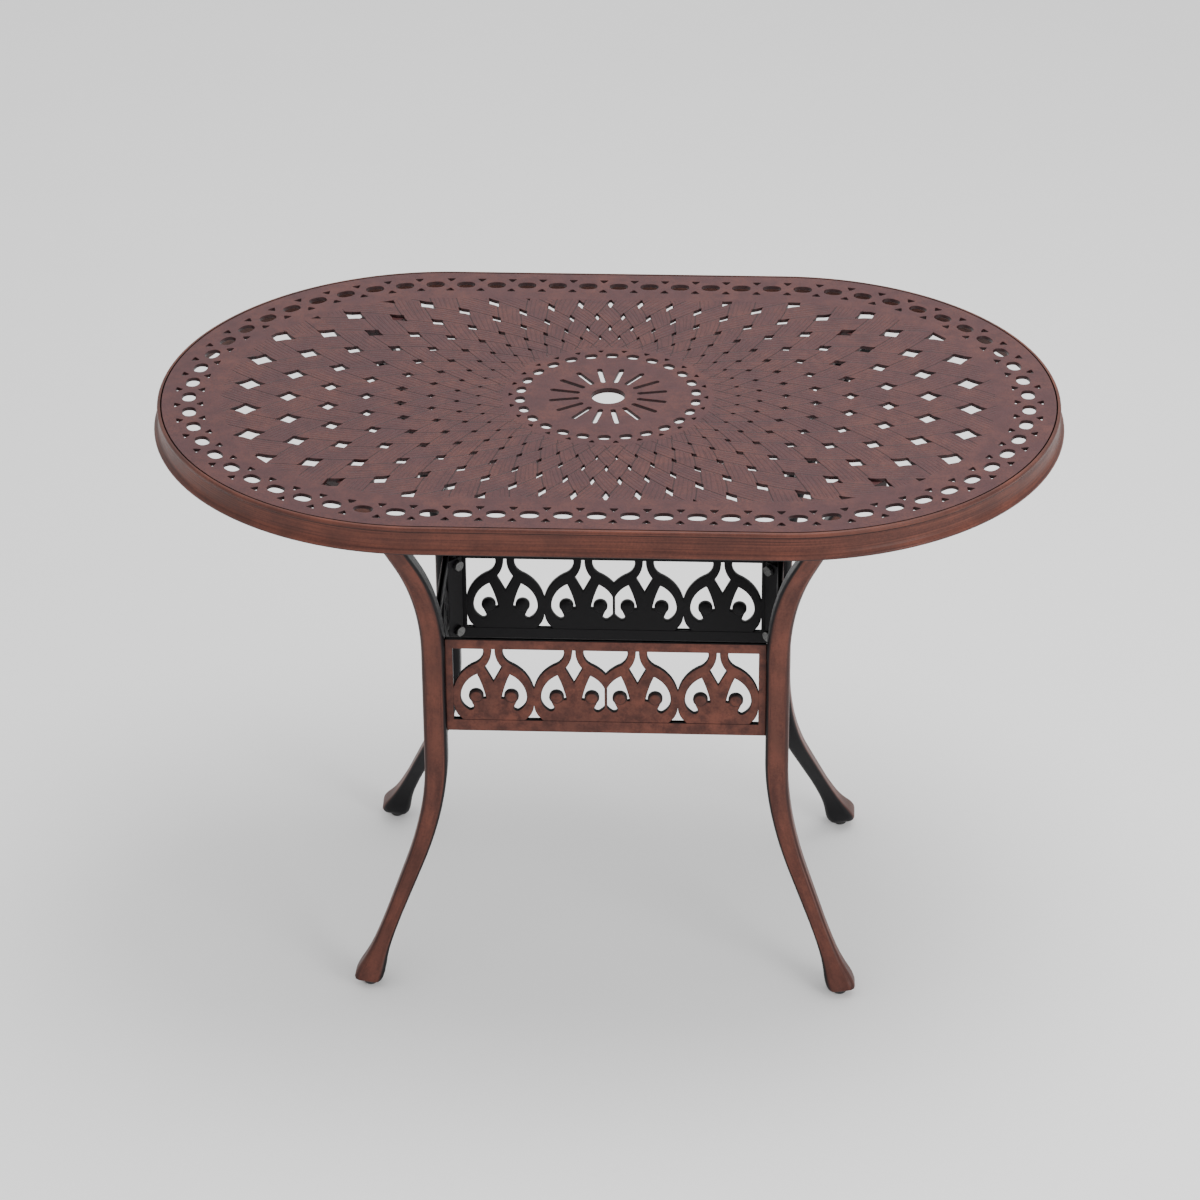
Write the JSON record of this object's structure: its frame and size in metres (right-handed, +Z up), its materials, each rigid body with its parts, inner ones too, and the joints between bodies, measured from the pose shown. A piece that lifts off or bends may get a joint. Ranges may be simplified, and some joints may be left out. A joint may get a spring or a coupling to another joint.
{
  "type": "umbrella table",
  "caption": "Oblong patio table with a pierced lattice top, an umbrella hole, bowed legs tied together by scroll panels and levelling glides under the feet.",
  "frame": {"origin": "on the floor, straight under the middle of the umbrella hole", "axes": "+Z up through the umbrella hole, +X along the table, -Y towards the front"},
  "size_m": [1.145, 0.71, 0.76],
  "materials": {
    "bronze_casting": "antique bronze powder coat, satin",
    "bolt_steel": "zinc plated",
    "glide_black": "black, satin"
  },
  "bodies": {
    "table": {"table_top": "bronze_casting", "front_panel": "bronze_casting", "rear_panel": "bronze_casting", "left_panel": "bronze_casting", "right_panel": "bronze_casting", "leg_front_left": "bronze_casting", "leg_front_right": "bronze_casting", "leg_rear_left": "bronze_casting", "leg_rear_right": "bronze_casting", "top_bolts_front_left": "bolt_steel", "top_bolts_front_right": "bolt_steel", "top_bolts_rear_left": "bolt_steel", "top_bolts_rear_right": "bolt_steel", "corner_bolts_front_left": "bolt_steel", "corner_bolts_front_right": "bolt_steel", "corner_bolts_rear_left": "bolt_steel", "corner_bolts_rear_right": "bolt_steel"},
    "glide_front_left": {"foot_glide_front_left": "glide_black"},
    "glide_front_right": {"foot_glide_front_right": "glide_black"},
    "glide_rear_left": {"foot_glide_rear_left": "glide_black"},
    "glide_rear_right": {"foot_glide_rear_right": "glide_black"}
  },
  "joints": [
    {"name": "glide_front_left_slide", "type": "slide", "parent": "table", "child": "glide_front_left", "axis": [0, 0, -1], "range_m": [0, 0.01]},
    {"name": "glide_front_right_slide", "type": "slide", "parent": "table", "child": "glide_front_right", "axis": [0, 0, -1], "range_m": [0, 0.01]},
    {"name": "glide_rear_left_slide", "type": "slide", "parent": "table", "child": "glide_rear_left", "axis": [0, 0, -1], "range_m": [0, 0.01]},
    {"name": "glide_rear_right_slide", "type": "slide", "parent": "table", "child": "glide_rear_right", "axis": [0, 0, -1], "range_m": [0, 0.01]}
  ]
}
